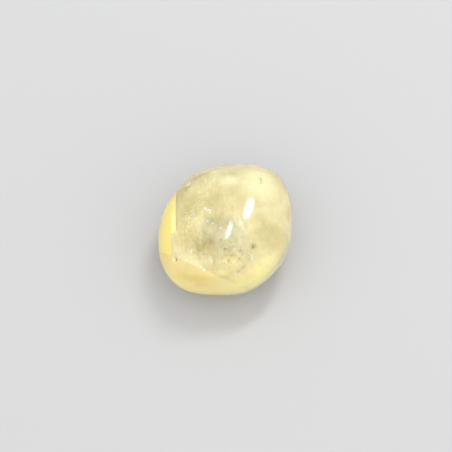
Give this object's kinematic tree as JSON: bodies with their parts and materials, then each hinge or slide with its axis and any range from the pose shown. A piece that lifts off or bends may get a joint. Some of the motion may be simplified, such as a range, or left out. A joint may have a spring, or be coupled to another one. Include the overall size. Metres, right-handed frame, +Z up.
{
  "type": "tumbled yellow quartz stone",
  "caption": "Polished pebble of pale yellow, cloudy, see-through quartz, worn round on every edge, with a small flat patch underneath to rest on.",
  "frame": {"origin": "on the flat that the stone rests on, under the middle of its outline seen from above", "axes": "+Z up, away from the flat it rests on; +Y along its longest side, from front to back; +X to the right"},
  "size_m": [0.0268, 0.0284, 0.0185],
  "materials": {
    "quartz": "polished, cloudy and see-through"
  },
  "bodies": {
    "root": {"stone": "quartz"}
  },
  "joints": []
}
